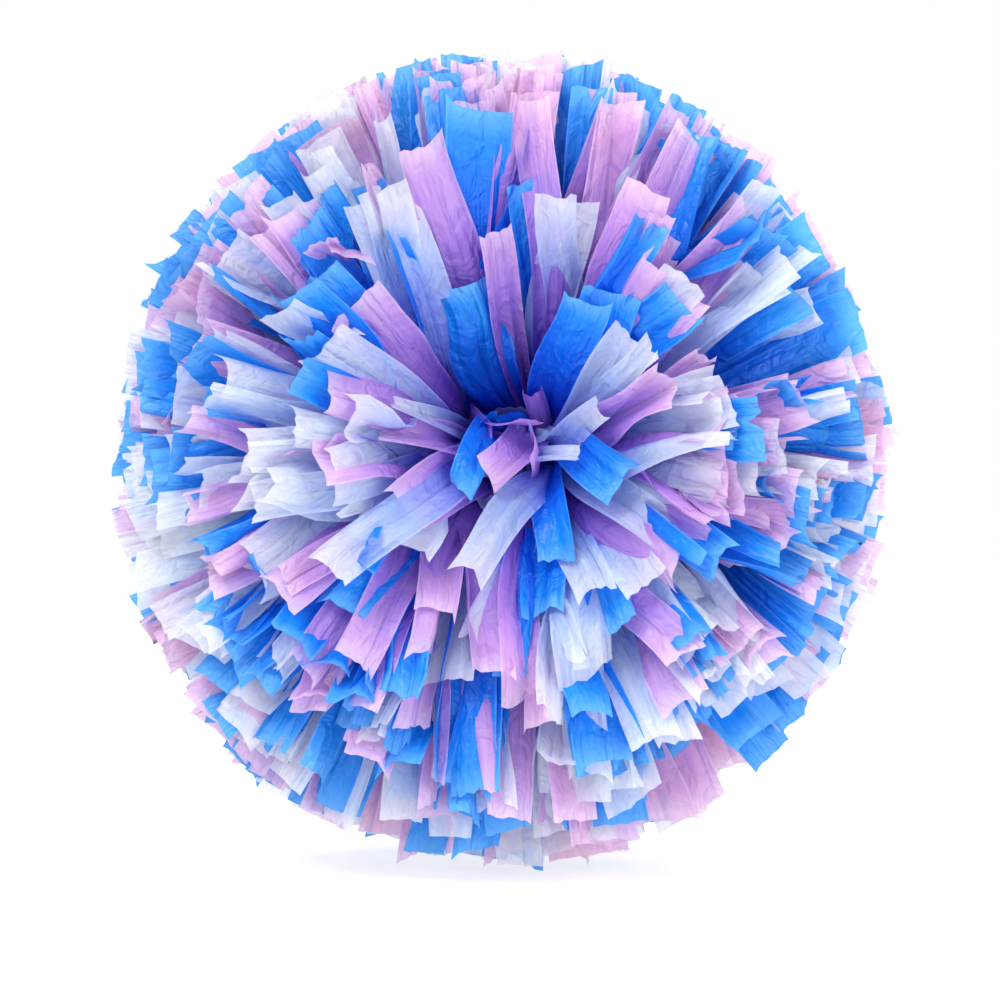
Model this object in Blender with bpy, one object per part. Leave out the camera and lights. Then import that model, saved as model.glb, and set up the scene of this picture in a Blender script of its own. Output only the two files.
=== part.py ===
"""A cheer pom pom with a hidden baton handle.

A short tube is the handle. Each of its ends holds a moulded plug with a saddle, and on each saddle a bunch
of film streamers is bound: the sheets' uncut middle is gathered into a waist, wrapped in tape and pulled
down by two cable ties. From the two waists the streamers fluff out into one ball, which hides the handle.

The handle runs along Y, -Y is the front, +Z is up, and the origin is the middle of the handle. A bunch is
drawn as a centre tuft and as fans, three tiers deep in each of four quarters. A fan's object has its origin
on the waist's centre, which is the point that its streamers bend about. Lengths are in metres.
"""

import math

import bmesh
import bpy
from mathutils import Matrix, Vector

# The handle
TUBE_RADIUS = 0.011
TUBE_WALL = 0.0025
TUBE_HALF_LENGTH = 0.046
GAP = 0.0003

# The end plugs
FLANGE_RADIUS = 0.014
FLANGE_THICKNESS = 0.003
SPIGOT_LENGTH = 0.016
SADDLE_HALF_WIDTH = 0.011
SADDLE_HALF_HEIGHT = 0.008
SADDLE_TOP = 0.054
PIN_RADIUS = 0.0015
PIN_PLACE = 0.038

# The bound waists
WAIST_CENTRE = 0.061
WAIST_RADIUS = 0.0069
WAIST_PLEAT = 0.0003
WAIST_PLEATS = 14
WAIST_HALF_LENGTH = 0.014
WAIST_FLARE_RADIUS = 0.0102
TAPE_RADIUS = 0.0080
TAPE_THICKNESS = 0.0005
TAPE_HALF_WIDTH = 0.0095

# The cable ties
TIE_WIDTH = 0.0048
TIE_THICKNESS = 0.0012
TIE_PLACE = 0.0055
TIE_CORNER_RADIUS = 0.001
TIE_INNER_RUN = 0.0504
TIE_HEAD = (0.0065, 0.006, 0.0052)

# The streamers: 152 mm strips that leave the waist's edge 10 mm from its centre
SIDE_REACH = 0.1575
TALL_REACH = 0.1625
POLE_REACH = 0.112
FAN_ROOT = 0.021
TIP_NOTCH = 0.004
FAN_PLEATS = 12
PLEAT_DEG = 1.0
# Each tier: its lowest and highest angle from the handle's outward axis, and half its width round that axis
TIERS = {
    "inner": (95.0, 108.6, 39.0),
    "middle": (62.0, 74.0, 31.0),
    "outer": (35.0, 45.0, 29.0),
}
TUFT_HALF_ANGLE_DEG = 13.0
TUFT_START = 0.019
TUFT_END = 0.100
TUFT_PLEATS = 12

ENDS = {"front": Vector((0, -1, 0)), "rear": Vector((0, 1, 0))}
QUARTERS = {
    "right": Vector((1, 0, 0)),
    "top": Vector((0, 0, 1)),
    "left": Vector((-1, 0, 0)),
    "bottom": Vector((0, 0, -1)),
}

FILM_COLOURS = {
    "film_blue": ((0.02, 0.26, 0.93), 0.34),
    "film_white": ((0.80, 0.82, 0.95), 0.38),
    "film_pink": ((0.86, 0.47, 0.76), 0.36),
}


def clear_scene():
    for obj in list(bpy.data.objects):
        bpy.data.objects.remove(obj)


def material(name, colour, roughness, metallic=0.0):
    made = bpy.data.materials.get(name)
    if made is None:
        made = bpy.data.materials.new(name)
        made.use_nodes = True
        shader = made.node_tree.nodes["Principled BSDF"]
        shader.inputs["Base Color"].default_value = (*colour, 1.0)
        shader.inputs["Roughness"].default_value = roughness
        shader.inputs["Metallic"].default_value = metallic
    return made


def film(name):
    colour, roughness = FILM_COLOURS[name]
    return material(name, colour, roughness)


def baton_plastic():
    return material("baton_plastic", (0.85, 0.85, 0.86), 0.42)


def nylon():
    return material("tie_nylon", (0.78, 0.79, 0.76), 0.45)


def binding_tape():
    return material("binding_tape", (0.74, 0.75, 0.79), 0.55)


def pin_steel():
    return material("pin_steel", (0.58, 0.59, 0.60), 0.30, 1.0)


def as_object(name, mesh, surface, place=None):
    """Links a mesh as a named object. The material sits on the object, so that shared meshes can differ."""
    obj = bpy.data.objects.new(name, mesh)
    if not mesh.materials:
        mesh.materials.append(surface)
    obj.material_slots[0].link = "OBJECT"
    obj.material_slots[0].material = surface
    if place is not None:
        obj.matrix_world = place
    bpy.context.scene.collection.objects.link(obj)
    return obj


def finished(name, work, smooth_deg=None):
    """Turns a bmesh into a mesh whose faces all point outwards."""
    bmesh.ops.recalc_face_normals(work, faces=work.faces)
    mesh = bpy.data.meshes.new(name)
    work.to_mesh(mesh)
    work.free()
    if smooth_deg is not None:
        mesh.shade_smooth()
        mesh.set_sharp_from_angle(angle=math.radians(smooth_deg))
    return mesh


def tube_of_rings(work, rings):
    """Joins rings of points into a skin, one ring to the next."""
    made = [[work.verts.new(point) for point in ring] for ring in rings]
    for ring, following in zip(made, made[1:]):
        for i, corner in enumerate(ring):
            after = (i + 1) % len(ring)
            work.faces.new((corner, ring[after], following[after], following[i]))
    return made


def ring_about_y(radius, y, count):
    return [
        (radius * math.cos(turn), y, radius * math.sin(turn))
        for turn in (2 * math.pi * i / count for i in range(count))
    ]


def turned_about_y(name, profile, count=40):
    """A solid of revolution about Y from (radius, y) points, closed by flat ends."""
    work = bmesh.new()
    rings = tube_of_rings(work, [ring_about_y(radius, y, count) for radius, y in profile])
    work.faces.new(rings[0])
    work.faces.new(rings[-1])
    return finished(name, work, 30)


def box_between(work, low, high):
    middle = (Vector(low) + Vector(high)) / 2
    side = Vector(high) - Vector(low)
    size = Matrix.Diagonal((*side, 1.0))
    bmesh.ops.create_cube(work, size=1.0, matrix=Matrix.Translation(middle) @ size)


def cutter(name, mesh):
    obj = bpy.data.objects.new(name, mesh)
    obj.hide_render = True
    obj.display_type = "WIRE"
    bpy.context.scene.collection.objects.link(obj)
    return obj


def combine(obj, other, operation):
    step = obj.modifiers.new(f"{operation.lower()} {other.name}", "BOOLEAN")
    step.object = other
    step.operation = operation


def rod_along_x(name, radius, half_length, centre, count=24):
    work = bmesh.new()
    place = Matrix.Translation(centre) @ Matrix.Rotation(math.pi / 2, 4, "Y")
    bmesh.ops.create_cone(
        work,
        cap_ends=True,
        segments=count,
        radius1=radius,
        radius2=radius,
        depth=2 * half_length,
        matrix=place,
    )
    return finished(name, work, 30)


def pin_hole(end, outward):
    centre = outward * PIN_PLACE
    mesh = rod_along_x(f"{end}_pin_hole", PIN_RADIUS + GAP, TUBE_RADIUS + 0.002, centre)
    return cutter(f"{end}_pin_hole", mesh)


def baton_tube(pin_holes):
    """An open tube: its bore goes right through, and a pin hole crosses each end."""
    bore = TUBE_RADIUS - TUBE_WALL
    work = bmesh.new()
    outline = [
        (TUBE_RADIUS, -TUBE_HALF_LENGTH),
        (TUBE_RADIUS, TUBE_HALF_LENGTH),
        (bore, TUBE_HALF_LENGTH),
        (bore, -TUBE_HALF_LENGTH),
        (TUBE_RADIUS, -TUBE_HALF_LENGTH),
    ]
    rings = tube_of_rings(work, [ring_about_y(radius, y, 40) for radius, y in outline])
    for first, last in zip(rings[0], rings[-1]):
        bmesh.ops.pointmerge(work, verts=(first, last), merge_co=first.co)
    tube = as_object("baton_tube", finished("baton_tube", work, 30), baton_plastic())
    for hole in pin_holes:
        combine(tube, hole, "DIFFERENCE")


def end_plug(end, outward, pin_hole_cutter):
    """A spigot in the tube, a flange against its end and a saddle block with two slots for the ties."""
    facing = outward.y
    flange_start = TUBE_HALF_LENGTH + GAP
    flange_end = flange_start + FLANGE_THICKNESS
    spigot = TUBE_RADIUS - TUBE_WALL - GAP
    profile = [
        (spigot, facing * (flange_start - SPIGOT_LENGTH)),
        (spigot, facing * flange_start),
        (FLANGE_RADIUS, facing * flange_start),
        (FLANGE_RADIUS, facing * flange_end),
    ]
    name = f"{end}_end_plug"
    plug = as_object(name, turned_about_y(name, profile), baton_plastic())

    block = bmesh.new()
    root = facing * (flange_end - 0.001)
    top = facing * SADDLE_TOP
    low = (-SADDLE_HALF_WIDTH, min(root, top), -SADDLE_HALF_HEIGHT)
    high = (SADDLE_HALF_WIDTH, max(root, top), SADDLE_HALF_HEIGHT)
    box_between(block, low, high)
    combine(plug, cutter(f"{end}_saddle_block", finished("block", block)), "UNION")

    groove = rod_along_x("groove", TAPE_RADIUS + GAP, 0.02, outward * WAIST_CENTRE, 40)
    combine(plug, cutter(f"{end}_saddle_groove", groove), "DIFFERENCE")

    slots = bmesh.new()
    half_slot = TIE_THICKNESS / 2 + GAP
    for side in (-1, 1):
        low = Vector((side * TIE_PLACE - TIE_WIDTH / 2 - GAP, facing * TIE_INNER_RUN - half_slot, -0.02))
        high = Vector((side * TIE_PLACE + TIE_WIDTH / 2 + GAP, facing * TIE_INNER_RUN + half_slot, 0.02))
        box_between(slots, low, high)
    combine(plug, cutter(f"{end}_tie_slots", finished("slots", slots)), "DIFFERENCE")
    combine(plug, pin_hole_cutter, "DIFFERENCE")


def plug_pin(end, outward):
    half_length = TUBE_RADIUS - GAP
    name = f"{end}_plug_pin"
    mesh = rod_along_x(name, PIN_RADIUS, half_length, outward * PIN_PLACE)
    as_object(name, mesh, pin_steel())


def lobed_ring_about_x(x, radius, depth, centre_y, count):
    """A pleated ring: every second point is pressed in by depth."""
    return [
        (
            x,
            centre_y + (radius - depth * (i % 2)) * math.cos(turn),
            (radius - depth * (i % 2)) * math.sin(turn),
        )
        for i, turn in enumerate(2 * math.pi * k / count for k in range(count))
    ]


def waist(end, outward):
    """The uncut middle of the film sheets, gathered into pleats and flaring out at both sides of the ties."""
    flare_start = SADDLE_HALF_WIDTH + GAP
    crest = WAIST_RADIUS + WAIST_PLEAT
    stations = [
        (-WAIST_HALF_LENGTH, WAIST_FLARE_RADIUS, 0.0016),
        (-flare_start, crest, 2 * WAIST_PLEAT),
        (flare_start, crest, 2 * WAIST_PLEAT),
        (WAIST_HALF_LENGTH, WAIST_FLARE_RADIUS, 0.0016),
    ]
    centre_y = outward.y * WAIST_CENTRE
    work = bmesh.new()
    rings = tube_of_rings(
        work,
        [
            lobed_ring_about_x(x, radius, depth, centre_y, 2 * WAIST_PLEATS)
            for x, radius, depth in stations
        ],
    )
    work.faces.new(rings[0])
    work.faces.new(rings[-1])
    name = f"{end}_waist"
    as_object(name, finished(name, work), film("film_white"))


def waist_tape(end, outward):
    """A wrap of adhesive tape round the waist: a plain ring."""
    inner = TAPE_RADIUS - TAPE_THICKNESS
    outline = [
        (TAPE_RADIUS, -TAPE_HALF_WIDTH),
        (TAPE_RADIUS, TAPE_HALF_WIDTH),
        (inner, TAPE_HALF_WIDTH),
        (inner, -TAPE_HALF_WIDTH),
        (TAPE_RADIUS, -TAPE_HALF_WIDTH),
    ]
    centre_y = outward.y * WAIST_CENTRE
    work = bmesh.new()
    rings = tube_of_rings(
        work,
        [lobed_ring_about_x(x, radius, 0.0, centre_y, 40) for radius, x in outline],
    )
    for first, last in zip(rings[0], rings[-1]):
        bmesh.ops.pointmerge(work, verts=(first, last), merge_co=first.co)
    name = f"{end}_waist_tape"
    as_object(name, finished(name, work, 30), binding_tape())


def arc_points(centre, radius, start_deg, end_deg, steps):
    """Points and outward directions along an arc, each as (height, side) in the tie's own plane."""
    found = []
    for i in range(steps + 1):
        turn = math.radians(start_deg + (end_deg - start_deg) * i / steps)
        out = Vector((math.cos(turn), math.sin(turn)))
        found.append((Vector(centre) + out * radius, out))
    return found


def tie_loop():
    """The closed line of a tie: a half circle over the waist, two sides, and a straight run through a slot."""
    side = TAPE_RADIUS + GAP + TIE_THICKNESS / 2
    corner = TIE_INNER_RUN + TIE_CORNER_RADIUS
    inset = side - TIE_CORNER_RADIUS
    return (
        arc_points((WAIST_CENTRE, 0.0), side, -90, 90, 16)
        + arc_points((corner, inset), TIE_CORNER_RADIUS, 90, 180, 4)
        + arc_points((corner, -inset), TIE_CORNER_RADIUS, 180, 270, 4)
    )


def cable_tie(end, outward, side):
    """One moulded strip: a flat band round the waist and through the saddle, with its lock head on one side."""
    facing = outward.y
    x = side * TIE_PLACE
    work = bmesh.new()
    loops = []
    for across, out_by in ((-1, 1), (1, 1), (1, -1), (-1, -1)):
        loop = []
        for point, out in tie_loop():
            height, width = point + out * out_by * TIE_THICKNESS / 2
            loop.append((x + across * TIE_WIDTH / 2, facing * height, width))
        loops.append(loop)
    tube_of_rings(work, [*loops, loops[0]])
    bmesh.ops.remove_doubles(work, verts=work.verts, dist=1e-6)
    place = "right" if side > 0 else "left"
    name = f"{end}_cable_tie_{place}"
    tie = as_object(name, finished(name, work, 30), nylon())

    width, length, height = TIE_HEAD
    foot = side * (TAPE_RADIUS + GAP + 0.0002)
    crown = side * (TAPE_RADIUS + GAP + height)
    middle = facing * (WAIST_CENTRE - 0.001)
    head = bmesh.new()
    low = (x - width / 2, middle - length / 2, min(foot, crown))
    high = (x + width / 2, middle + length / 2, max(foot, crown))
    box_between(head, low, high)
    bmesh.ops.bevel(head, geom=head.edges[:], offset=0.0006, segments=1, affect="EDGES")
    combine(tie, cutter(f"{name}_head", finished("head", head)), "UNION")


def reach(angle_deg, widest):
    """How far the streamers' tips are from the waist's centre: an oval cap round the pole, then a circle."""
    turn = math.radians(angle_deg)
    if angle_deg >= 90:
        return widest
    return 1 / math.hypot(math.sin(turn) / widest, math.cos(turn) / POLE_REACH)


def fan_point(distance, angle_deg, azimuth_deg):
    """A point of a fan in its own frame: -Y is the handle's outward axis, and +X the middle of its quarter."""
    polar = math.radians(angle_deg)
    azimuth = math.radians(azimuth_deg)
    aside = distance * math.sin(polar)
    return (aside * math.cos(azimuth), -distance * math.cos(polar), aside * math.sin(azimuth))


def fan_mesh(tier, widest):
    """A pleated wedge: one closed outline for each pleat line, from the waist out to the fringed tips."""
    nearest, furthest, half_width = TIERS[tier]
    middle = (nearest + furthest) / 2
    outlines = []
    for i in range(FAN_PLEATS + 1):
        azimuth = half_width * (2 * i / FAN_PLEATS - 1)
        sway = PLEAT_DEG * (i % 2)
        notch = TIP_NOTCH * (i % 2)
        outlines.append(
            [
                fan_point(FAN_ROOT, nearest, azimuth),
                fan_point(FAN_ROOT, furthest, azimuth),
                fan_point(reach(furthest, widest) - notch, furthest - sway, azimuth),
                fan_point(reach(middle, widest) - notch, middle, azimuth),
                fan_point(reach(nearest, widest) - notch, nearest + sway, azimuth),
            ]
        )
    work = bmesh.new()
    rings = tube_of_rings(work, outlines)
    work.faces.new(rings[0])
    work.faces.new(rings[-1])
    return finished(f"{tier}_fan", work)


def fan_place(outward, sector):
    """The frame of a fan: local X runs to its quarter and local -Y along the outward axis."""
    along = -outward
    turn = Matrix((sector, along, sector.cross(along))).transposed()
    return Matrix.Translation(outward * WAIST_CENTRE) @ turn.to_4x4()


def fans(end, outward, meshes):
    names = list(FILM_COLOURS)
    for q, (quarter, sector) in enumerate(QUARTERS.items()):
        for t, tier in enumerate(TIERS):
            surface = film(names[(q + t) % len(names)])
            mesh = meshes[tier, abs(sector.z)]
            as_object(f"fan_{end}_{quarter}_{tier}", mesh, surface, fan_place(outward, sector))


def centre_tuft(end, outward):
    """The short streamers that stand up along the axis: a pleated cone."""
    spread = math.tan(math.radians(TUFT_HALF_ANGLE_DEG))
    work = bmesh.new()
    rings = []
    for distance in (TUFT_START, TUFT_END):
        y = outward.y * (WAIST_CENTRE + distance)
        ring = []
        for i in range(2 * TUFT_PLEATS):
            turn = math.pi * i / TUFT_PLEATS
            radius = distance * spread * (1 - 0.12 * (i % 2))
            ring.append((radius * math.cos(turn), y, radius * math.sin(turn)))
        rings.append(ring)
    made = tube_of_rings(work, rings)
    work.faces.new(made[0])
    work.faces.new(made[-1])
    name = f"{end}_centre_tuft"
    as_object(name, finished(name, work), film("film_pink"))


def build():
    clear_scene()
    holes = {end: pin_hole(end, outward) for end, outward in ENDS.items()}
    baton_tube(holes.values())
    meshes = {}
    for tier in TIERS:
        meshes[tier, 0.0] = fan_mesh(tier, SIDE_REACH)
        meshes[tier, 1.0] = fan_mesh(tier, TALL_REACH)
    for end, outward in ENDS.items():
        end_plug(end, outward, holes[end])
        plug_pin(end, outward)
        waist(end, outward)
        waist_tape(end, outward)
        for side in (-1, 1):
            cable_tie(end, outward, side)
        fans(end, outward, meshes)
        centre_tuft(end, outward)


build()
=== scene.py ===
"""The look of the cheer pom pom: film streamers, binding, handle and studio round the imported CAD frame.

Every streamer is a strip of thin film that keeps its cut width and length. It leaves one side of its
bunch's waist gathered into folds, opens out along its length and ends in a torn cut. Lengths are in metres.
"""

import math

import bpy
import numpy as np
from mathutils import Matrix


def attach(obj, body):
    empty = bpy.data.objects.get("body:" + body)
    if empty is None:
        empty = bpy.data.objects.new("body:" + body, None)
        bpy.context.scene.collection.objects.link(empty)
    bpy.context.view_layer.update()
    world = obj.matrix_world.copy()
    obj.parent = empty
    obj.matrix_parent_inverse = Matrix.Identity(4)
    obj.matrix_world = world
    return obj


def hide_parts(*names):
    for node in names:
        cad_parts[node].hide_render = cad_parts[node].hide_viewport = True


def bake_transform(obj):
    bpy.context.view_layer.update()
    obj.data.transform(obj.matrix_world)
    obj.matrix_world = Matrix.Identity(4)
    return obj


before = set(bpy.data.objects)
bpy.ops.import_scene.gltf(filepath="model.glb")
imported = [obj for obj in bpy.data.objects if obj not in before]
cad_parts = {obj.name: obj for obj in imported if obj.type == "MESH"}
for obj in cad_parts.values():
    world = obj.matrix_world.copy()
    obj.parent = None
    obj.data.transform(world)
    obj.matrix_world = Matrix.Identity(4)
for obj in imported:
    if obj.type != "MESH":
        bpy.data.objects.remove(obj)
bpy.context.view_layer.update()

ENDS = {"front": -1.0, "rear": 1.0}
QUARTERS = ("right", "top", "left", "bottom")
COLOURS = ("blue", "white", "pink")

# The bunches, as part.py places them
WAIST_CENTRE = 0.061
WAIST_EXIT = 0.0135
WAIST_RADIUS = 0.0072
INNER_FROM_DEG = 84.0
MIDDLE_FROM_DEG = 50.0

# How far the ball's surface is from a waist's centre: to the sides, up and down, and along the axis.
# Tips that lean towards the other bunch reach a little further. The whole ball hangs low and to one side.
SIDE_REACH = 0.1530
TALL_REACH = 0.1600
POLE_REACH = 0.108
INWARD_EXTRA = 0.045
INWARD_DEG = (90, 112)
HANG = (-0.0030, -0.0035)

# A streamer's mesh: its steps along the strip and its panels across it
STEPS = 15
PANELS = 8
STRIP_WIDTH = 0.0205

# Streamers near the axis are crisp, and those pressed together round the rim are softer and plainer
CRISP_TO_DEG = (58, 88)
RIM_SOFTNESS = 0.65

# A streamer this long, or longer, runs through the whole of its colour's range, from the painted shade at
# the waist to the painted lit tip. Shorter ones stop short of the tip colour and stay darker, as painted
# shade deep in the ball
LIT_TIP_LENGTH = 0.085

# How many streamers each bunch has, how wide its clear middle is, its seed, and its tufts. Its random
# streamers lie between two angles to the axis.
RANDOM_STREAMERS = 1180
SHORT_STREAMERS = {"front": 34, "rear": 72}
CLEAR_MIDDLE_DEG = {"front": 38, "rear": 24}
SEEDS = {"front": 7, "rear": 11}
WAIST_SEED = 3
TUFTS = 90
SPREAD_DEG = (14, 116)


def smooth(value, start, end):
    """0 before start, 1 after end and an S curve between."""
    t = np.clip((value - start) / (end - start), 0, 1)
    return t * t * (3 - 2 * t)


def unit(vectors):
    return vectors / np.linalg.norm(vectors, axis=-1, keepdims=True)


def towards(side, polar_deg, azimuth_deg):
    """The direction at an angle from the handle's outward axis, turned round it from +X towards +Z."""
    polar = math.radians(polar_deg)
    azimuth = math.radians(azimuth_deg)
    across = math.sin(polar)
    return np.array((across * math.cos(azimuth), side * math.cos(polar), across * math.sin(azimuth)))


def ball_reach(polar_deg, azimuth_deg):
    """How far the ball's surface is from a waist's centre."""
    azimuth = math.radians(azimuth_deg)
    widest = math.hypot(SIDE_REACH * math.cos(azimuth), TALL_REACH * math.sin(azimuth))
    widest += HANG[0] * math.cos(azimuth) + HANG[1] * math.sin(azimuth)
    if polar_deg >= 90:
        return widest * (1 + INWARD_EXTRA * float(smooth(polar_deg, *INWARD_DEG)))
    polar = math.radians(polar_deg)
    return 1 / math.hypot(math.sin(polar) / widest, math.cos(polar) / POLE_REACH)


# One streamer


def film_shape(rng, crisp):
    """A streamer's bend, curl and twist in degrees and its cup in radians.

    Most streamers are slack, and a few are folded over.
    """
    curl = rng.normal(5, 15)
    if rng.random() < 0.24 * crisp:
        curl = rng.choice((-1, 1, 1)) * rng.uniform(35, 115)
    slack = 0.4 + 0.6 * crisp
    return rng.normal(20, 15), curl, rng.normal(0, 30) * slack, rng.normal(0, 0.55) * slack


def root_and_chord(rng, side, azimuth, polar, reach, leave):
    """Where a strip leaves the waist, the vector from there to its tip, and the way it bends outwards."""
    waist = np.array((0.0, side * WAIST_CENTRE, 0.0))
    aim = towards(side, polar, azimuth)
    exit_side = leave or math.copysign(1, aim[0] + rng.normal(0, 0.15))
    root = waist + np.array((exit_side * WAIST_EXIT, 0, 0)) + rng.normal(0, 0.0028, 3) * (0.4, 1, 1)
    chord = waist + aim * reach - root
    along = chord / np.linalg.norm(chord)
    outward = np.array((0.0, side, 0.0))
    lift = outward - along * (outward @ along)
    if np.linalg.norm(lift) < 0.05:
        lift = np.array((0.0, 0.0, 1.0))
    return root, chord, unit(lift)


def centre_line(rng, s, chord, lift, bend, curl):
    """A strip's middle, the way it heads at each step, and its flat length.

    It sets out nearer the axis and bends evenly, with slack waves, and it curls near the tip. The length is
    what it takes to reach the end of the chord when the curl is left out.
    """
    length = np.linalg.norm(chord)
    chord = chord / length
    sideways = np.cross(chord, lift)
    wave = np.sin(2 * math.pi * s)
    rise = math.radians(bend) / 2 * (1 - 2 * s) + rng.normal(0, 0.09) * wave
    drift = rng.normal(0, 0.13) * wave + rng.normal(0, 0.08) * np.sin(3 * math.pi * s)
    curled = rise - math.radians(curl) * smooth(s, rng.uniform(0.60, 0.86), 1.08)

    def line(angle):
        heading = (
            np.outer(np.cos(angle) * np.cos(drift), chord)
            + np.outer(np.sin(angle) * np.cos(drift), lift)
            + np.outer(np.sin(drift), sideways)
        )
        middle = (heading[1:] + heading[:-1]) / 2
        return np.vstack((np.zeros(3), np.cumsum(middle, axis=0))) / (STEPS - 1), heading

    plain, _ = line(rise)
    flat_length = length / np.linalg.norm(plain[-1])
    centre, heading = line(curled)
    return centre * flat_length, unit(heading), flat_length


def wrinkles(rng, s, size):
    """A smooth random tilt over the strip, steps by panels."""
    u = np.linspace(0, 1, PANELS)
    tilt = np.zeros((len(s), PANELS))
    for along in (1, 2, 3.5):
        for over in (0.5, 1, 2):
            wave = np.outer(np.sin(math.pi * along * s + rng.uniform(0, 6.3)), np.cos(math.pi * over * u))
            tilt += rng.normal(0, size) * wave
    return tilt


def folds(rng, s, width, cup, crisp, may_crease):
    """How far each panel tilts, in radians, steps by panels.

    The folds are tight at the waist and open out. The open strip is cupped and wrinkled, a few are crushed,
    and a few have one sharp fold along them.
    """
    breadth = rng.integers(1, 5)
    first = rng.choice((-1.0, 1.0))
    count = np.arange(PANELS) + rng.integers(breadth)
    signs = first * np.where((count // breadth) % 2, 1, -1)
    weights = signs * rng.uniform(0.4, 1.25, PANELS)
    opened = smooth(s, 0.0, rng.uniform(0.50, 0.92))
    left = rng.uniform(0.05, 0.26) if rng.random() < 0.5 else rng.uniform(0.26, 0.75)
    fold = (1.30 * (1 - opened) + left * opened)[:, None] * weights
    fold += (cup * opened)[:, None] * np.linspace(-1, 1, PANELS)
    crushed = 3.2 if rng.random() < 0.16 * crisp else 1.0
    fold += wrinkles(rng, s, 0.100 * crushed * width / STRIP_WIDTH) * opened[:, None]
    if may_crease and rng.random() < 0.30 * crisp:
        crease = rng.integers(1, PANELS - 1)
        folded = rng.choice((-1, 1)) * rng.uniform(0.7, 1.9) * smooth(s, 0.35, 0.8)
        fold[:, crease:] += folded[:, None]
    return fold


def cut_end(rng, crisp):
    """How far each edge of the cut stands out: a slant, small tears and corners that the blade pulled."""
    edge = np.linspace(-1, 1, PANELS + 1)
    cut = rng.normal(0, 0.0016) * edge + rng.normal(0, 0.00022 + 0.00025 * crisp**2, PANELS + 1)
    cut += rng.uniform(0, 0.0016) * crisp**2 * (edge**2 - 0.4)
    for corner, beside in ((0, 1), (-1, -2)):
        if rng.random() < 0.36 * crisp**2:
            pulled = rng.uniform(0.0010, 0.0044)
            cut[corner] += pulled
            cut[beside] += 0.22 * pulled
    if rng.random() < 0.08:
        cut[rng.integers(2, PANELS - 1)] -= rng.uniform(0.003, 0.009)
    return cut


def streamer(rng, side, azimuth, polar, reach, width=STRIP_WIDTH, shape=None, leave=None):
    """One strip of film.

    Returns its points, as steps by edges, their places on the flat strip in metres, its flat length, and
    their places as shares of the strip. shape is what film_shape gives, and leave is the side of the waist
    that the strip leaves from, -1 or 1 along X.
    """
    crisp = 1.0 - RIM_SOFTNESS * float(smooth(polar, *CRISP_TO_DEG))
    bend, curl, twist, cup = shape or film_shape(rng, crisp)
    root, chord, lift = root_and_chord(rng, side, azimuth, polar, reach, leave)
    s = np.linspace(0, 1, STEPS)
    centre, heading, flat_length = centre_line(rng, s, chord, lift, bend, curl)
    centre = root + centre

    # Across the strip, it lies round the axis at the waist and twists on its way out
    turned = np.radians(twist) * (0.75 * smooth(s, 0.0, 0.75) + 0.25 * smooth(s, 0.6, 1.0))
    around = math.radians(azimuth)
    across = np.array((-math.sin(around), 0.0, math.cos(around)))
    across = unit(across - heading * (heading @ across)[:, None])
    face = np.cross(heading, across)
    wide = across * np.cos(turned)[:, None] + face * np.sin(turned)[:, None]
    deep = np.cross(heading, wide)

    # Each panel keeps its flat width, however it is folded
    fold = folds(rng, s, width, cup, crisp, may_crease=shape is None)
    panel = width / PANELS
    run = np.hstack((np.zeros((STEPS, 1)), np.cumsum(np.cos(fold), axis=1))) * panel
    dip = np.hstack((np.zeros((STEPS, 1)), np.cumsum(np.sin(fold), axis=1))) * panel
    run -= run.mean(axis=1, keepdims=True)
    dip -= dip.mean(axis=1, keepdims=True)
    along = smooth(s, 0.80, 1.0)[:, None] * cut_end(rng, crisp)

    points = (
        centre[:, None]
        + wide[:, None] * run[..., None]
        + deep[:, None] * dip[..., None]
        + heading[:, None] * along[..., None]
    )
    edge = np.linspace(-1, 1, PANELS + 1)
    place = np.empty((STEPS, PANELS + 1, 3))
    place[..., 0] = edge * width / 2
    place[..., 1] = s[:, None] * flat_length
    place[..., 2] = rng.uniform(0, 40)
    share = np.empty((STEPS, PANELS + 1, 3))
    share[..., 0] = edge
    # Short strips never reach the tip colour, so they keep painted shade deep in the ball
    share[..., 1] = s[:, None] * min(1.0, flat_length / LIT_TIP_LENGTH) ** 0.6
    # Painted backlight at the outer end: stronger towards the rim, where the film is lit from behind, plus a
    # random share
    share[..., 2] = 0.62 * float(smooth(polar, 42, 100)) + 0.38 * rng.random()
    return points, place, flat_length, share


# Meshes of film


def add_attribute(mesh, name, values):
    held = mesh.attributes.new(name, "FLOAT_VECTOR", "POINT")
    held.data.foreach_set("vector", values.astype(np.float32).ravel())


def film_mesh(name, strips):
    """Joins strips into one mesh that knows each point's place on its flat strip.

    "strip" holds metres across and along, and a number for the strip. "share" holds how far across the
    point is, from -1 to 1, how far along, from 0 to 1 but held lower on short strips so that they keep more
    painted shade, and how much painted backlight the strip's end takes.
    """
    rows, edges = STEPS, PANELS + 1
    grid = np.arange(rows * edges).reshape(rows, edges)
    quads = np.stack((grid[:-1, :-1], grid[:-1, 1:], grid[1:, 1:], grid[1:, :-1]), axis=-1).reshape(-1, 4)
    faces = (quads[None] + (np.arange(len(strips)) * rows * edges)[:, None, None]).reshape(-1, 4)
    points = np.concatenate([strip[0].reshape(-1, 3) for strip in strips])
    mesh = bpy.data.meshes.new(name)
    mesh.from_pydata(points.tolist(), [], faces.tolist())
    for attribute, part in (("strip", 1), ("share", 3)):
        add_attribute(mesh, attribute, np.concatenate([strip[part].reshape(-1, 3) for strip in strips]))
    mesh.shade_smooth()
    return mesh


# Materials


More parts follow.
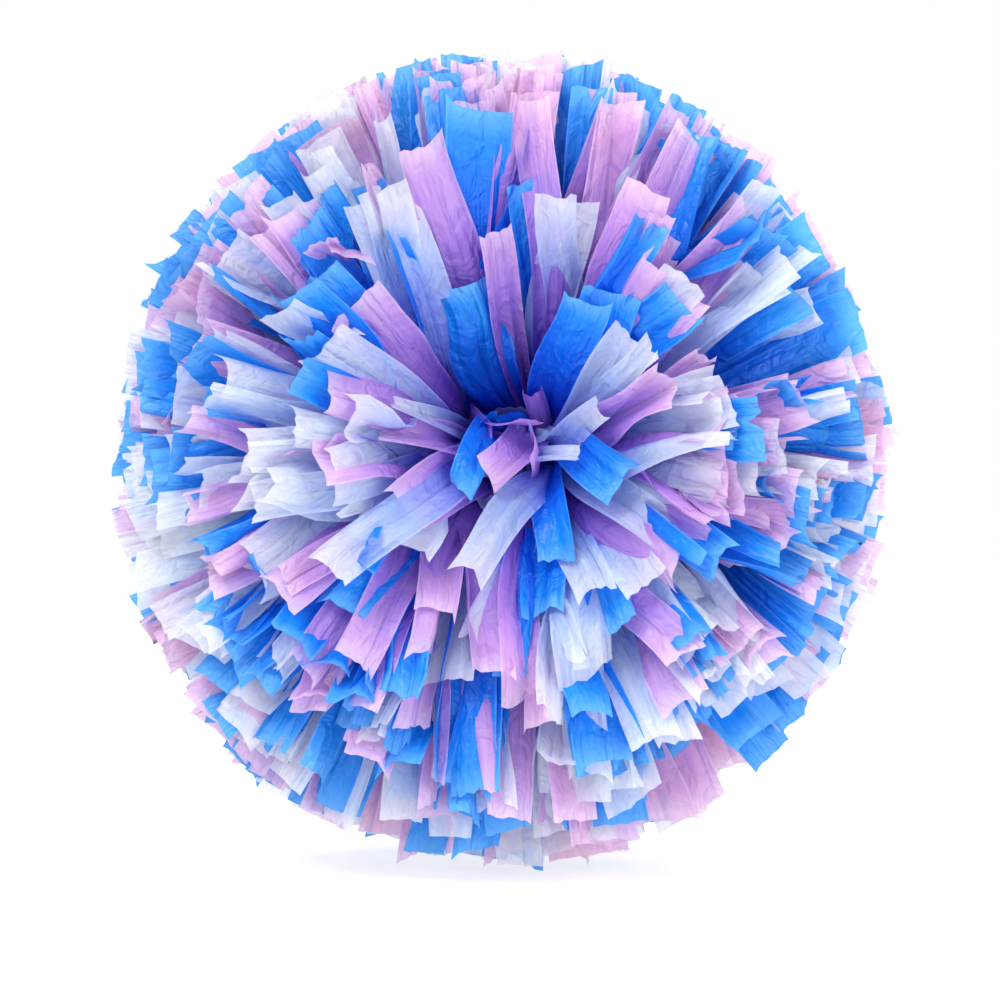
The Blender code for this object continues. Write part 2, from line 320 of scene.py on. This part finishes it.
class Nodes:
    """Adds nodes to a material by type, and sets or links their inputs by name or place."""

    def __init__(self, name):
        self.material = bpy.data.materials.new(name)
        self.material.use_nodes = True
        self.tree = self.material.node_tree
        self.tree.nodes.clear()

    def add(self, kind, inputs=None, **settings):
        node = self.tree.nodes.new(kind)
        for key, value in settings.items():
            setattr(node, key, value)
        for key, value in (inputs or {}).items():
            if isinstance(value, bpy.types.NodeSocket):
                self.tree.links.new(value, node.inputs[key])
            else:
                node.inputs[key].default_value = value
        return node

    def ramp(self, factor, stops):
        node = self.add("ShaderNodeValToRGB", {"Fac": factor})
        while len(node.color_ramp.elements) < len(stops):
            node.color_ramp.elements.new(0.5)
        for element, (position, colour) in zip(node.color_ramp.elements, stops):
            element.position = position
            element.color = (*colour, 1.0)
        return node.outputs["Color"]

    def math(self, operation, *values):
        return self.add("ShaderNodeMath", dict(enumerate(values)), operation=operation).outputs[0]

    def mix(self, factor, first, second, blend="MIX"):
        node = self.add("ShaderNodeMix", data_type="RGBA", blend_type=blend)
        for key, value in ((0, factor), (6, first), (7, second)):
            if isinstance(value, bpy.types.NodeSocket):
                self.tree.links.new(value, node.inputs[key])
            else:
                node.inputs[key].default_value = value if key == 0 else (*value, 1.0)
        return node.outputs[2]

    def finish(self, shader):
        self.add("ShaderNodeOutputMaterial", {"Surface": shader})
        return self.material


def film_material(name, tip, body, deep, backlit_end, edge, through, clear):
    """Film that scatters light on both faces, with pleats along it, crumples and a fine grain.

    Its colour holds painted light and shade. It runs from deep, a painted shade at the waist, through body
    to tip, a painted lit tip, and pales at the outer end under a painted backlight. The cut edges carry a
    painted highlight, and the thin lines of the pleats and crumples carry painted shade. through is the
    share of the light that scatters through it, and clear the share that goes straight on.
    """
    n = Nodes(name)
    place = n.add("ShaderNodeAttribute", attribute_name="strip").outputs["Vector"]
    share = n.add("ShaderNodeAttribute", attribute_name="share").outputs["Vector"]
    over, along, pale = n.add("ShaderNodeSeparateXYZ", {0: share}).outputs

    def noise(scale, detail, distortion=0.0):
        spread = n.add("ShaderNodeVectorMath", {0: place, 1: scale}, operation="MULTIPLY").outputs[0]
        settings = {"Vector": spread, "Scale": 1.0, "Detail": detail, "Distortion": distortion}
        return n.add("ShaderNodeTexNoise", settings).outputs["Fac"]

    def beside_lines(factor, gain):
        """0 on the thin lines where a noise crosses its middle value, and 1 away from them."""
        away = n.math("ABSOLUTE", n.math("SUBTRACT", factor, 0.5))
        return n.math("MINIMUM", n.math("MULTIPLY", away, gain), 1.0)

    # The noises' scales are waves per metre across and along the strip
    pleats = noise((170.0, 11.0, 1.0), 2.0, 0.6)
    crumple = noise((95.0, 62.0, 1.0), 2.0, 1.8)
    grain = noise((900.0, 500.0, 1.0), 2.0)
    crease = beside_lines(pleats, 9.0)
    crinkle = beside_lines(crumple, 12.0)

    # Colour: painted shade along the strip from the waist to a painted lit tip, a painted backlight at the
    # outer end, painted highlights at the cut edges and painted shade on the lines of the creases
    # Painted shade and light along the strip: the deep colour near the waist, where shade falls among the
    # strips, body in the middle and a lighter lit tip. The pleats shift where one colour gives way to the
    # next
    shade_along = n.math("ADD", along, n.math("MULTIPLY", n.math("SUBTRACT", pleats, 0.5), 0.30))
    colour = n.ramp(shade_along, ((0.37, deep), (0.74, body), (0.95, tip)))
    outer = n.math("MINIMUM", n.math("MULTIPLY", along, along), 1.0)
    # Painted backlight: the outer end pales towards the backlit colour
    colour = n.mix(n.math("MULTIPLY", n.math("MULTIPLY", pale, outer), 0.85), colour, backlit_end)
    # Painted highlight: the cut side edges and the very end are lightened towards the edge colour
    edge_glint = n.math("MAXIMUM", n.math("ABSOLUTE", over), n.math("ADD", along, -0.012))
    edge_glint = n.add("ShaderNodeMapRange", {0: edge_glint, 1: 0.91, 2: 0.975, 3: 0.0, 4: 0.70}).outputs[0]
    colour = n.mix(n.math("MULTIPLY", edge_glint, outer), colour, edge)
    # Painted shade: the colour is darkened along the thin lines of the pleats and crumples
    lines = n.math("ADD", n.math("MULTIPLY", crease, 0.045), n.math("MULTIPLY", crinkle, 0.075))
    shade = n.math("ADD", 0.88, lines)
    crease_shade = n.add("ShaderNodeCombineColor", {0: shade, 1: shade, 2: 1.0}).outputs[0]
    colour = n.mix(1.0, colour, crease_shade, "MULTIPLY")

    # Relief and gloss
    height = n.math("ADD", n.math("MULTIPLY", pleats, 1.1), n.math("MULTIPLY", crumple, 0.80))
    height = n.math("ADD", height, n.math("MULTIPLY", grain, 0.08))
    bump = n.add("ShaderNodeBump", {"Height": height, "Strength": 0.9, "Distance": 0.0032}).outputs[0]
    rough = n.math("ADD", 0.25, n.math("MULTIPLY", grain, 0.22))
    surface = n.add(
        "ShaderNodeBsdfPrincipled",
        {"Base Color": colour, "Roughness": rough, "Normal": bump, "IOR": 1.45, "Specular IOR Level": 0.5},
    ).outputs[0]
    light = n.add("ShaderNodeBsdfTranslucent", {"Color": colour, "Normal": bump}).outputs[0]
    shader = n.add("ShaderNodeMixShader", {0: through, 1: surface, 2: light}).outputs[0]
    if clear:
        hole = n.add("ShaderNodeBsdfTransparent", {"Color": (1.0, 1.0, 1.0, 1.0)}).outputs[0]
        shader = n.add("ShaderNodeMixShader", {0: clear, 1: shader, 2: hole}).outputs[0]
    return n.finish(shader)


def moulded_material(name, colour, roughness, scale, strength, second=None):
    """Moulded or wound plastic: slight clouding between two tones and a fine grain.

    scale is the grain's waves per metre and strength its depth. The second tone is darker if none is given.
    """
    n = Nodes(name)
    place = n.add("ShaderNodeTexCoord").outputs["Object"]
    cloud = n.add("ShaderNodeTexNoise", {"Vector": place, "Scale": 90.0, "Detail": 3.0}).outputs["Fac"]
    grain = n.add("ShaderNodeTexNoise", {"Vector": place, "Scale": scale, "Detail": 4.0}).outputs["Fac"]
    other = second or tuple(0.86 * part for part in colour)
    tone = n.mix(cloud, colour, other)
    bump = n.add("ShaderNodeBump", {"Height": grain, "Strength": strength, "Distance": 0.0004}).outputs[0]
    rough = n.math("ADD", roughness, n.math("MULTIPLY", cloud, 0.12))
    settings = {"Base Color": tone, "Roughness": rough, "Normal": bump}
    return n.finish(n.add("ShaderNodeBsdfPrincipled", settings).outputs[0])


def steel_material():
    """Drawn steel, with fine lines along X, as the pins lie."""
    n = Nodes("drawn_steel")
    place = n.add("ShaderNodeTexCoord").outputs["Object"]
    stretch = {0: place, 1: (60.0, 4000.0, 4000.0)}
    drawn = n.add("ShaderNodeVectorMath", stretch, operation="MULTIPLY").outputs[0]
    lines = n.add("ShaderNodeTexNoise", {"Vector": drawn, "Scale": 1.0, "Detail": 2.0}).outputs["Fac"]
    rough = n.math("ADD", 0.22, n.math("MULTIPLY", lines, 0.2))
    tone = n.mix(lines, (0.52, 0.53, 0.54), (0.66, 0.67, 0.68))
    settings = {"Base Color": tone, "Metallic": 1.0, "Roughness": rough}
    return n.finish(n.add("ShaderNodeBsdfPrincipled", settings).outputs[0])


# Each film's deep colour is painted shade at the waist, its tip colour painted light, the colour for its
# outer end a painted backlight and its edge colour a painted highlight on the cut edges
FILM = {
    "blue": film_material(
        "blue_film",
        tip=(0.012, 0.320, 0.960),
        body=(0.002, 0.175, 0.940),
        deep=(0.001, 0.026, 0.680),
        backlit_end=(0.034, 0.360, 0.940),
        edge=(0.160, 0.520, 1.000),
        through=0.36,
        clear=0.0,
    ),
    "white": film_material(
        "white_film",
        tip=(0.910, 0.975, 1.000),
        body=(0.500, 0.680, 1.000),
        deep=(0.105, 0.125, 0.800),
        backlit_end=(0.880, 0.930, 0.970),
        edge=(0.980, 0.980, 1.000),
        through=0.42,
        clear=0.24,
    ),
    "pink": film_material(
        "pink_film",
        tip=(0.800, 0.470, 0.880),
        body=(0.500, 0.270, 0.860),
        deep=(0.090, 0.031, 0.500),
        backlit_end=(0.900, 0.490, 0.640),
        edge=(0.980, 0.740, 0.920),
        through=0.38,
        clear=0.12,
    ),
}


# The streamers


def quarter_of(azimuth):
    return QUARTERS[int(((azimuth + 45) % 360) // 90)]


def tier_of(polar):
    if polar >= INNER_FROM_DEG:
        return "inner"
    return "middle" if polar >= MIDDLE_FROM_DEG else "outer"


def random_streamers(rng, side, count, clear):
    """Streamers over the whole ball but for its clear middle, which is larger above and below.

    They lean towards the tufts. They are wider apart near the axis, and closest where the two bunches meet.
    """
    highest, lowest = (math.cos(math.radians(degrees)) for degrees in SPREAD_DEG)

    def anywhere():
        return rng.uniform(0, 360), math.degrees(math.acos(rng.uniform(lowest, highest)))

    tufts = [anywhere() for _ in range(TUFTS)]
    tuft_aims = np.array([towards(side, polar, azimuth) for azimuth, polar in tufts])
    tuft_colours = rng.integers(3, size=len(tufts))
    made = []
    while len(made) < count:
        azimuth, polar = anywhere()
        crowd = 0.40 + 0.32 * float(smooth(polar, 45, 88)) + 0.28 * float(smooth(polar, 94, 106))
        if rng.random() > crowd:
            continue
        rise = math.sin(math.radians(azimuth))
        inside = clear + (22 if rise > 0 else 8) * abs(rise) ** 3
        if polar < inside and (side < 0 or rng.random() < 0.96):
            continue
        aim = towards(side, polar, azimuth)
        nearest = int(np.argmax(tuft_aims @ aim))
        pull = rng.uniform(0.10, 0.55) * (1 - 0.6 * float(smooth(polar, 55, 90)))
        aim = unit(aim * (1 - pull) + tuft_aims[nearest] * pull)
        azimuth = math.degrees(math.atan2(aim[2], aim[0])) % 360
        polar = math.degrees(math.acos(side * aim[1]))
        reach = ball_reach(polar, azimuth) + np.clip(rng.normal(0, 0.0026), -0.007, 0.0030)
        if rng.random() < 0.16:
            reach -= rng.uniform(0.004, 0.020)
        width = STRIP_WIDTH * rng.uniform(0.82, 1.18)
        if rng.random() < 0.12:
            width *= 1.4
        colour = COLOURS[tuft_colours[nearest] if rng.random() < 0.22 else rng.integers(3)]
        made.append((azimuth, polar, colour, streamer(rng, side, azimuth, polar, reach, width)))
    return made


# The middle of the front bunch, strip by strip: its tip's angle round the axis and distance from it in mm,
# its angle to the axis, its colour and width in mm, its bend, curl and twist in degrees, its cup in radians,
# and the side of the waist that it leaves
FRONT_MIDDLE = (
    (106, 64, 48, "blue", 32, 25, 14, 8, -0.5, 1),
    (137, 80, 45, "pink", 28, 30, -8, 6, 0.6, -1),
    (94, 82, 52, "pink", 17, 20, 5, 25, 0.5, 1),
    (57, 102, 58, "pink", 32, 20, 0, -20, 0.5, 1),
    (56, 69, 42, "blue", 24, 30, 25, 10, 0.4, 1),
    (63, 62, 38, "blue", 20, 25, 10, -12, -0.3, 1),
    (45, 60, 37, "white", 15, 30, 60, 20, 0.8, 1),
    (34, 65, 36, "white", 17, 35, 5, -35, 0.3, 1),
    (21, 67, 36, "pink", 26, 40, -20, -10, 0.8, 1),
    (4, 95, 46, "blue", 27, 25, 5, 5, 0.3, 1),
    (-11, 80, 42, "white", 25, 30, 15, 6, -0.5, 1),
    (-17, 42, 27, "blue", 22, 45, 35, 10, 0.4, 1),
    (-30, 62, 37, "white", 20, 35, 50, -25, 0.8, 1),
    (-22, 82, 44, "pink", 22, 30, 10, 15, 0.4, 1),
    (-43, 73, 42, "white", 20, 30, 5, -10, 0.4, 1),
    (-38, 78, 44, "pink", 18, 30, 12, 20, -0.5, 1),
    (-57, 80, 46, "blue", 18, 25, 8, 30, 0.3, 1),
    (-60, 63, 38, "white", 19, 35, 10, -5, -0.4, 1),
    (-77, 64, 41, "blue", 21, 30, 12, 5, 0.4, 1),
    (-66, 43, 29, "blue", 17, 45, 50, 20, 0.7, 1),
    (-111, 49, 27, "white", 17, 60, -5, -10, 0.3, 1),
    (-114, 67, 41, "pink", 18, 30, 10, 20, 0.4, -1),
    (-152, 42, 28, "pink", 26, 45, 25, -8, 0.5, -1),
    (-133, 49, 31, "white", 20, 40, 35, 12, -0.6, -1),
    (-140, 24, 18, "blue", 14, 80, 95, 20, 0.4, -1),
    (172, 45, 30, "pink", 18, 60, 45, 45, 0.5, -1),
    (159, 46, 32, "white", 13, 60, 20, 65, 0.3, -1),
    (-120, 12, 9, "pink", 18, 55, 65, 15, 0.5, 1),
    (10, 10, 8, "pink", 17, 30, 20, -15, 0.6, 1),
    (60, 12, 10, "pink", 15, 20, 10, 40, 0.4, -1),
    (24, 36, 25, "white", 14, 50, 75, 30, 0.8, 1),
    (-5, 24, 18, "white", 12, 60, 50, -60, 0.6, 1),
    (170, 62, 35, "white", 25, 35, -6, 5, 0.5, -1),
    (-170, 67, 37, "white", 25, 30, 8, -6, -0.4, -1),
    (-151, 66, 39, "white", 22, 30, 10, 10, 0.5, -1),
    (-134, 88, 50, "blue", 28, 20, 4, 0, 0.3, -1),
    (-96, 75, 46, "white", 22, 25, 6, -10, 0.4, 1),
    (-84, 88, 52, "pink", 20, 25, 6, 12, 0.3, 1),
    (-104, 92, 54, "white", 22, 20, 8, 5, -0.3, -1),
    (122, 92, 54, "blue", 22, 25, 4, 0, 0.4, -1),
    (150, 78, 42, "white", 22, 30, 14, -10, 0.4, -1),
    (162, 70, 38, "pink", 22, 35, 10, 10, -0.4, -1),
    (76, 98, 58, "white", 20, 18, 3, -6, 0.3, 1),
    (86, 104, 62, "blue", 20, 15, 2, 10, 0.3, 1),
    (40, 84, 46, "blue", 24, 28, 10, 8, 0.3, 1),
    (12, 84, 43, "white", 22, 30, 10, -10, 0.4, 1),
)


def front_middle(rng, side):
    """The streamers of the table, with chosen places and shapes, and folds as random as the others'."""
    made = []
    for azimuth, across, polar, colour, width, bend, curl, twist, cup, leave in FRONT_MIDDLE:
        reach = across / 1000 / math.sin(math.radians(polar))
        strip = streamer(rng, side, azimuth, polar, reach, width / 1000, (bend, curl, twist, cup), leave)
        made.append((azimuth % 360, polar, colour, strip))
    return made


def rosette(rng, side, count, curled):
    """The short streamers in the middle of a bunch, which fill the hollow.

    Where they are curled, every fourth is a longer petal.
    """
    made = []
    for i in range(count):
        azimuth = 360 * (i * 0.382 + rng.uniform(-0.08, 0.08))
        petal = curled and i % 4 == 0
        polar = rng.uniform(10, 38) if petal else rng.uniform(0, 34)
        reach = rng.uniform(0.058, 0.080) if petal else rng.uniform(0.032, 0.054)
        curl = rng.uniform(20, 120) if petal else rng.normal(0, 30)
        shape = (rng.uniform(5, 40), curl, rng.normal(0, 40), rng.normal(0, 0.7))
        strip = streamer(rng, side, azimuth, polar, reach, STRIP_WIDTH * rng.uniform(0.7, 1.1), shape)
        made.append((azimuth, polar, COLOURS[rng.integers(3)], strip))
    return made


def film_piece(name, strips, colour):
    """One piece of fringed film. Its flat size is that of its strips laid side by side."""
    obj = bpy.data.objects.new(name, film_mesh(name, [strip for _, _, _, strip in strips]))
    obj.data.materials.append(FILM[colour])
    bpy.context.scene.collection.objects.link(obj)
    return obj


def bunch(end, side, rng):
    """One end's streamers: a piece for each quarter, tier and colour, and one for each rosette colour."""
    groups = {}
    facing = end == "front"
    strips = random_streamers(rng, side, RANDOM_STREAMERS, CLEAR_MIDDLE_DEG[end])
    if facing:
        strips += front_middle(rng, side)
    for strip in strips:
        azimuth, polar, colour, _ = strip
        groups.setdefault((quarter_of(azimuth), tier_of(polar), colour), []).append(strip)
    for (quarter, tier, colour), strips in sorted(groups.items()):
        obj = film_piece(f"{end}_{quarter}_{tier}_{colour}_streamers", strips, colour)
        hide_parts(f"fan_{end}_{quarter}_{tier}")
        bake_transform(obj)
    groups = {}
    for strip in rosette(rng, side, SHORT_STREAMERS[end], curled=not facing):
        groups.setdefault(strip[2], []).append(strip)
    for colour, strips in sorted(groups.items()):
        obj = film_piece(f"{end}_rosette_{colour}_streamers", strips, colour)
        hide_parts(f"{end}_centre_tuft")
        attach(obj, "handle")


for end, side in ENDS.items():
    bunch(end, side, np.random.default_rng(SEEDS[end]))


# The gathered waists


def waist_piece(end, side, rng):
    """The uncut middle of the sheets: many fine pleats, pressed under the ties and flaring at the sides."""
    stations, pleats = 25, 110
    half_length, pressed = 0.0150, 0.0095
    x = np.linspace(-half_length, half_length, stations)
    flare = smooth(np.abs(x), pressed, half_length)
    turn = np.linspace(0, 2 * math.pi, pleats, endpoint=False)
    depth = rng.uniform(0.3, 1.0, pleats) * np.where(np.arange(pleats) % 2, 1, 0)
    radius = WAIST_RADIUS + 0.0034 * flare[:, None] - depth * (0.0006 + 0.0022 * flare[:, None])
    points = np.empty((stations, pleats, 3))
    points[..., 0] = x[:, None] + 0.0008 * flare[:, None] * np.sin(5 * turn)
    points[..., 1] = side * WAIST_CENTRE + radius * np.cos(turn)
    points[..., 2] = radius * np.sin(turn)
    grid = np.arange(stations * pleats).reshape(stations, pleats)
    after = np.roll(grid, -1, axis=1)
    quads = np.stack((grid[:-1], after[:-1], after[1:], grid[1:]), axis=-1).reshape(-1, 4)
    caps = [grid[0].tolist(), grid[-1][::-1].tolist()]
    mesh = bpy.data.meshes.new(f"{end}_gathered_waist")
    mesh.from_pydata(points.reshape(-1, 3).tolist(), [], quads.tolist() + caps)
    place = np.empty((stations, pleats, 3))
    place[..., 0] = turn * WAIST_RADIUS
    place[..., 1] = 0.05 + x[:, None]
    place[..., 2] = side
    share = np.zeros((stations, pleats, 3))
    # At 0.3 along, the waist takes the white film's deep colour, painted shade, with no backlight or edge
    # highlight
    share[..., 1] = 0.3
    add_attribute(mesh, "strip", place)
    add_attribute(mesh, "share", share)
    mesh.shade_smooth()
    obj = bpy.data.objects.new(f"{end}_gathered_waist", mesh)
    obj.data.materials.append(FILM["white"])
    bpy.context.scene.collection.objects.link(obj)
    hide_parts(f"{end}_waist")
    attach(obj, "handle")


for end, side in ENDS.items():
    waist_piece(end, side, np.random.default_rng(WAIST_SEED))


# The hard parts keep their CAD shapes


def finish_node(node, material):
    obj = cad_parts[node]
    for held in obj.material_slots:
        held.material = material


BATON = moulded_material("moulded_white_plastic", (0.80, 0.80, 0.82), 0.36, 1800.0, 0.12)
NYLON = moulded_material("natural_nylon", (0.74, 0.74, 0.70), 0.34, 900.0, 0.10, (0.66, 0.66, 0.60))
TAPE = moulded_material("binding_tape", (0.66, 0.67, 0.71), 0.48, 1400.0, 0.30)
STEEL = steel_material()

finish_node("baton_tube", BATON)
for end in ENDS:
    finish_node(f"{end}_end_plug", BATON)
    finish_node(f"{end}_plug_pin", STEEL)
    finish_node(f"{end}_waist_tape", TAPE)
    for place in ("left", "right"):
        finish_node(f"{end}_cable_tie_{place}", NYLON)


# The studio

# The world looks full white, but lights the ball with less
WORLD_LIGHT = 0.48
WORLD_SEEN = 1.0
FLOOR_HEIGHT = -0.1712
FLOOR_HALF = 8.0
# The floor glows enough to meet the white of the world where it ends
FLOOR_GLOW = 0.715
LAMP_SIZE = 1.2
LAMPS = {
    "key_light": ((-0.9, -1.6, 1.5), 45.0),
    "fill_light": ((1.3, -1.4, 0.4), 15.0),
    "back_light": ((0.8, 1.6, 1.2), 36.0),
}
CAMERA_PLACE = (-0.0034, -1.6, -0.0200)
CAMERA_LENS_MM = 138.5
CAMERA_SENSOR_MM = 36


def white_world():
    world = bpy.data.worlds.new("studio_white")
    world.use_nodes = True
    tree = world.node_tree
    background = tree.nodes["Background"]
    background.inputs["Color"].default_value = (1.0, 1.0, 1.0, 1.0)
    seen = tree.nodes.new("ShaderNodeLightPath").outputs["Is Camera Ray"]
    strength = tree.nodes.new("ShaderNodeMapRange")
    tree.links.new(seen, strength.inputs["Value"])
    strength.inputs["To Min"].default_value = WORLD_LIGHT
    strength.inputs["To Max"].default_value = WORLD_SEEN
    tree.links.new(strength.outputs["Result"], background.inputs["Strength"])
    world.cycles.sampling_method = "NONE"
    bpy.context.scene.world = world


def light_bounces():
    """Light scatters through a few layers of film, and colours are shown as they are."""
    cycles = bpy.context.scene.cycles
    cycles.max_bounces = 6
    cycles.diffuse_bounces = 3
    cycles.glossy_bounces = 2
    cycles.transmission_bounces = 4
    cycles.transparent_max_bounces = 6
    bpy.context.scene.view_settings.view_transform = "Standard"


def pale_floor():
    n = Nodes("studio_floor")
    place = n.add("ShaderNodeTexCoord").outputs["Object"]
    cloud = n.add("ShaderNodeTexNoise", {"Vector": place, "Scale": 3.0}).outputs["Fac"]
    tone = n.mix(cloud, (0.60, 0.60, 0.60), (0.63, 0.63, 0.63))
    settings = {
        "Base Color": tone,
        "Roughness": 0.9,
        "Specular IOR Level": 0.0,
        "Emission Color": (1.0, 1.0, 1.0, 1.0),
        "Emission Strength": FLOOR_GLOW,
    }
    shader = n.add("ShaderNodeBsdfPrincipled", settings).outputs[0]
    mesh = bpy.data.meshes.new("studio_floor")
    around = ((-1, -1), (1, -1), (1, 1), (-1, 1))
    corners = [(FLOOR_HALF * x, FLOOR_HALF * y, FLOOR_HEIGHT) for x, y in around]
    mesh.from_pydata(corners, [], [(0, 1, 2, 3)])
    mesh.materials.append(n.finish(shader))
    floor = bpy.data.objects.new("studio_floor", mesh)
    bpy.context.scene.collection.objects.link(floor)


def soft_lamps():
    """Square lamps that face the middle of the ball."""
    for name, (place, power) in LAMPS.items():
        light = bpy.data.lights.new(name, "AREA")
        light.size = LAMP_SIZE
        light.energy = power
        lamp = bpy.data.objects.new(name, light)
        lamp.location = place
        pitch = math.acos(place[2] / np.linalg.norm(place))
        lamp.rotation_euler = (pitch, 0, math.atan2(place[1], place[0]) + math.pi / 2)
        bpy.context.scene.collection.objects.link(lamp)


def front_camera():
    camera = bpy.data.cameras.new("camera")
    camera.sensor_width = CAMERA_SENSOR_MM
    camera.lens = CAMERA_LENS_MM
    eye = bpy.data.objects.new("camera", camera)
    eye.location = CAMERA_PLACE
    eye.rotation_euler = (math.pi / 2, 0, 0)
    bpy.context.scene.collection.objects.link(eye)
    bpy.context.scene.camera = eye


white_world()
light_bounces()
pale_floor()
soft_lamps()
front_camera()
